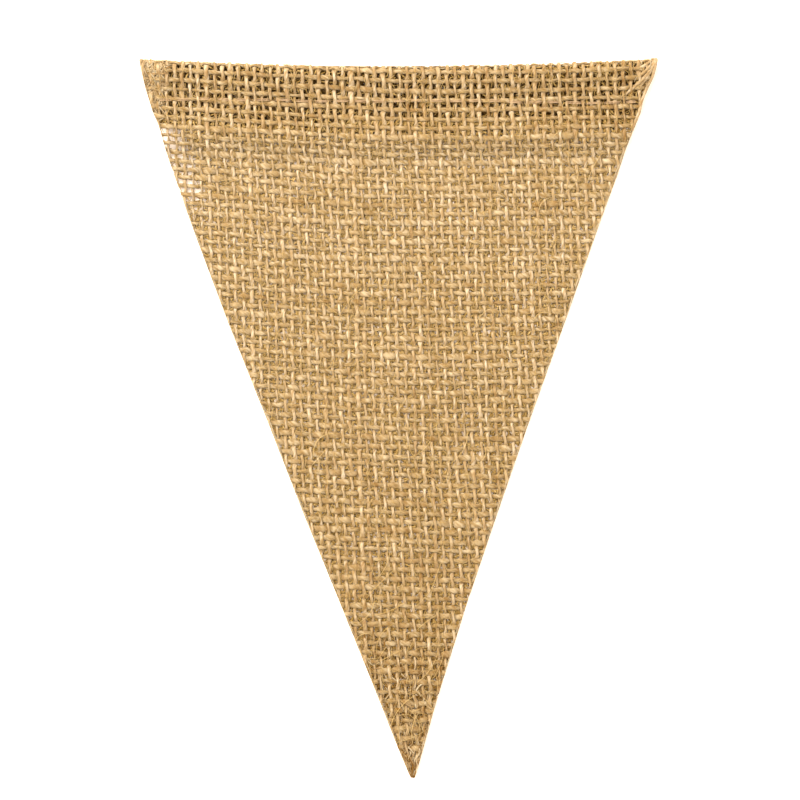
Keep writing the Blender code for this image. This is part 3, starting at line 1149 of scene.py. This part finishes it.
# %% [markdown]
# ## The jute fibre group
#
# Jute is straw coloured, matt and made of coarse fibres. A picture of jute would have to be fitted
# to each yarn, so the streaks are noise instead, read in the yarn's own coordinates and stretched
# along its fibres. Their dark part is painted shade in the gaps between the fibres. The yarns, the
# hairs, the edges and the thread all have these streaks, each in their own colours, so the effect
# is a node group that all five materials use. It gives colour, height and roughness, and leaves the
# shader to the material.

# %% Node helpers
MIX_FACTOR, MIX_FIRST, MIX_SECOND, MIX_RESULT = 0, 6, 7, 2      # sockets of a colour Mix node


def add(tree, kind, **values):
    node = tree.nodes.new(kind)
    for name, value in values.items():
        setattr(node, name, value)
    return node


def noise(tree, place_in_yarn, scale, detail):
    """Noise in the yarn's own coordinates. scale has one number along it and two around it."""
    mapping = add(tree, "ShaderNodeMapping")
    mapping.inputs["Scale"].default_value = scale
    texture = add(tree, "ShaderNodeTexNoise")
    texture.inputs["Scale"].default_value = 1.0
    texture.inputs["Detail"].default_value = detail
    tree.links.new(place_in_yarn, mapping.inputs["Vector"])
    tree.links.new(mapping.outputs["Vector"], texture.inputs["Vector"])
    return texture.outputs["Fac"]


def spread(tree, value, from_min, from_max, to_min=0.0, to_max=1.0):
    ramp = add(tree, "ShaderNodeMapRange")
    limits = {"From Min": from_min, "From Max": from_max, "To Min": to_min, "To Max": to_max}
    for name, limit in limits.items():
        ramp.inputs[name].default_value = limit
    tree.links.new(value, ramp.inputs["Value"])
    return ramp.outputs["Result"]


def mixed(tree, factor, first, second):
    mix = add(tree, "ShaderNodeMix", data_type="RGBA")
    tree.links.new(factor, mix.inputs[MIX_FACTOR])
    tree.links.new(first, mix.inputs[MIX_FIRST])
    tree.links.new(second, mix.inputs[MIX_SECOND])
    return mix.outputs[MIX_RESULT]


def maths(tree, operation, first, second):
    node = add(tree, "ShaderNodeMath", operation=operation)
    tree.links.new(first, node.inputs[0])
    tree.links.new(second, node.inputs[1])
    return node.outputs[0]


print("node helpers: noise, spread, mixed, maths")


# %% Jute fibre group
def jute_group():
    group = bpy.data.node_groups.new("jute fibres", "ShaderNodeTree")
    colour, number = "NodeSocketColor", "NodeSocketFloat"
    for name, kind in (("Pale", colour), ("Deep", colour), ("Ochre", colour), ("Brown", colour),
                       ("Streak", number), ("Patchiness", number)):
        group.interface.new_socket(name=name, in_out="INPUT", socket_type=kind)
    for name, kind in (("Color", colour), ("Height", number), ("Roughness", number)):
        group.interface.new_socket(name=name, in_out="OUTPUT", socket_type=kind)
    links = group.links
    inputs, outputs = add(group, "NodeGroupInput"), add(group, "NodeGroupOutput")
    given = inputs.outputs
    fibre = add(group, "ShaderNodeAttribute", attribute_name="fibre").outputs["Vector"]
    tone = add(group, "ShaderNodeAttribute", attribute_name="tone").outputs["Fac"]
    streaks = spread(group, noise(group, fibre, (0.55, 1.0, 1.0), 4.0), 0.38, 0.62)
    patches = spread(group, noise(group, fibre, (0.6, 0.5, 0.5), 3.0), 0.38, 0.66)
    # the dark streaks are painted shade in the gaps between the fibres
    depth = maths(group, "MULTIPLY", streaks, given["Streak"])
    base = mixed(group, depth, given["Pale"], given["Deep"])
    # tone holds the jute's brown and the painted shade of the strip, the hem and the right side
    tinted = maths(group, "ADD", tone, patches)
    amount = maths(group, "MULTIPLY", spread(group, tinted, 0.5, 1.6), given["Patchiness"])
    natural = mixed(group, amount, base, given["Ochre"])
    browned = mixed(group, spread(group, tinted, 1.2, 2.8), natural, given["Brown"])
    links.new(browned, outputs.inputs["Color"])
    links.new(noise(group, fibre, (0.6, 2.2, 2.2), 4.0), outputs.inputs["Height"])
    links.new(spread(group, streaks, 0.0, 1.0, 0.62, 0.95), outputs.inputs["Roughness"])
    return group


JUTE = jute_group()
print(f"{JUTE.name}: {len(JUTE.nodes)} nodes")

# %% [markdown]
# ## Five finishes of jute
#
# The warps are the palest and most streaked, the wefts a little deeper. Thin hairs let light
# through, so they are yellower, the matted edges are greyer, and the sewing thread is a pinkish
# tan. Each finish places the group with its own values and adds a little relief. Jute hardly
# shines, so the specular level is low.

# %% Finish helper
RELIEF_DEPTH = 0.25 * MM
SHINE = 0.03
# the darkest jute, towards which the painted shade of the strip also leans
BROWN = (0.105, 0.046, 0.007)


def jute_material(name, pale, deep, ochre, streak, patchiness, relief_strength):
    """pale is the fibre, deep the painted shade between fibres, ochre the darker kind of jute."""
    material = bpy.data.materials.new(name)
    material.use_nodes = True
    tree = material.node_tree
    shader = tree.nodes["Principled BSDF"]
    fibres = add(tree, "ShaderNodeGroup", node_tree=JUTE)
    for socket, colour in (("Pale", pale), ("Deep", deep), ("Ochre", ochre), ("Brown", BROWN)):
        fibres.inputs[socket].default_value = (*colour, 1)
    fibres.inputs["Streak"].default_value = streak
    fibres.inputs["Patchiness"].default_value = patchiness
    relief = add(tree, "ShaderNodeBump")
    relief.inputs["Strength"].default_value = relief_strength
    relief.inputs["Distance"].default_value = RELIEF_DEPTH
    tree.links.new(fibres.outputs["Height"], relief.inputs["Height"])
    tree.links.new(fibres.outputs["Color"], shader.inputs["Base Color"])
    tree.links.new(fibres.outputs["Roughness"], shader.inputs["Roughness"])
    tree.links.new(relief.outputs["Normal"], shader.inputs["Normal"])
    shader.inputs["Specular IOR Level"].default_value = SHINE
    print(f"finish {name}")
    return material


print(f"the relief is {RELIEF_DEPTH / MM:.2f} mm deep")

# %% Finishes
warp_finish = jute_material(
    "jute_warp", pale=(0.328, 0.25, 0.163), deep=(0.13, 0.068, 0.016),
    ochre=(0.26, 0.168, 0.072), streak=0.85, patchiness=0.6, relief_strength=0.8)
weft_finish = jute_material(
    "jute_weft", pale=(0.28, 0.207, 0.12), deep=(0.108, 0.056, 0.013),
    ochre=(0.217, 0.142, 0.06), streak=0.9, patchiness=0.6, relief_strength=0.9)
hair_finish = jute_material(
    "jute_hairs", pale=(0.37, 0.252, 0.108), deep=(0.19, 0.097, 0.015),
    ochre=(0.262, 0.15, 0.033), streak=0.6, patchiness=0.8, relief_strength=0.1)
edge_finish = jute_material(
    "jute_edges", pale=(0.32, 0.25, 0.152), deep=(0.15, 0.091, 0.038),
    ochre=(0.215, 0.138, 0.063), streak=0.4, patchiness=0.8, relief_strength=0.3)
thread_finish = jute_material(
    "stitch_thread", pale=(0.31, 0.20, 0.11), deep=(0.14, 0.076, 0.03),
    ochre=(0.22, 0.125, 0.052), streak=0.6, patchiness=0.3, relief_strength=0.2)

hairs = [hole_fibres, fluff, yarn_hairs, long_hairs]
for pieces, finish in (([warp_yarns], warp_finish), (weft_yarns, weft_finish),
                       (hairs, hair_finish), ([edge_strands], edge_finish),
                       ([stitches], thread_finish)):
    for piece in pieces:
        piece.data.materials.append(finish)

# %% [markdown]
# ## The surface and the light
#
# The flag lies on a pale surface. Its material is cream, because light that shines through the
# holes of the cloth comes back warm, and the strong light bleaches the open surface to white. The
# light is a broad panel above the upper left, with an even fill all around, so that the yarns have
# soft shadows on their lower right. A sun would make them too hard.

# %% Surface
CREAM = (0.80, 0.65, 0.51, 1)
FLOOR_SIDE = 3

bpy.ops.mesh.primitive_plane_add(size=FLOOR_SIDE)
floor = bpy.context.object
floor.name = "floor"
surface = bpy.data.materials.new("pale_surface")
surface.use_nodes = True
surface_shader = surface.node_tree.nodes["Principled BSDF"]
surface_shader.inputs["Base Color"].default_value = CREAM
surface_shader.inputs["Roughness"].default_value = 0.8
surface_shader.inputs["Specular IOR Level"].default_value = 0.0
floor.data.materials.append(surface)
print(f"the surface is {FLOOR_SIDE} m wide")

# %% Light
WHITE = (1, 1, 1, 1)
FILL_STRENGTH = 2.95
PANEL_SIDE, PANEL_POWER = 0.6, 26.5
PANEL_PLACE = (-0.42, 0.68, 0.60)

world = bpy.data.worlds.new("even_fill")
world.use_nodes = True
world.node_tree.nodes["Background"].inputs["Color"].default_value = WHITE
world.node_tree.nodes["Background"].inputs["Strength"].default_value = FILL_STRENGTH
bpy.context.scene.world = world
panel = bpy.data.lights.new("panel", "AREA")
panel.size = PANEL_SIDE
panel.energy = PANEL_POWER
panel_object = bpy.data.objects.new("panel", panel)
panel_object.location = PANEL_PLACE
panel_object.rotation_euler = panel_object.location.to_track_quat("Z", "Y").to_euler()
bpy.context.scene.collection.objects.link(panel_object)
print(f"the panel is {panel_object.location.length:.2f} m away")

# %% [markdown]
# ## The camera
#
# The flag is seen from straight above. A short lens would show more of the fold on one side than
# on the other, so a long lens hangs far away, as high as it takes to see the chosen part of the
# surface. The plain Standard view keeps the colours as they are lit.

# %% Camera
PICTURE_SIDE = 193.9 * MM   # how much of the surface the square picture takes in
PICTURE_MIDDLE = (0.3 * MM, 4.4 * MM)
LENS, SENSOR = 200.0, 36.0

camera_data = bpy.data.cameras.new("camera")
camera_data.lens = LENS
camera_data.sensor_width = SENSOR
camera = bpy.data.objects.new("camera", camera_data)
camera.location = (*PICTURE_MIDDLE, PICTURE_SIDE * LENS / SENSOR)
bpy.context.scene.collection.objects.link(camera)
bpy.context.scene.camera = camera
bpy.context.scene.view_settings.view_transform = "Standard"
print(f"the camera hangs {camera.location.z:.2f} m above the surface")

# %% [markdown]
# ## Hand over to the frame
#
# All the meshes ride on the one body and together replace the plain solid, which is hidden. The
# cut sides are then sampled along the whole cloth, from the strip's edge to the tip.

# %% Hand over to the frame
AREA_SAMPLES = 500

trimmings = [*weft_yarns, *hairs, edge_strands, stitches]
for piece in (warp_yarns, *trimmings):
    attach(piece, "root")
    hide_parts("pennant")
left, right = cut_limits(np.zeros(AREA_SAMPLES), np.linspace(FLAP_END, TIP_END, AREA_SAMPLES))
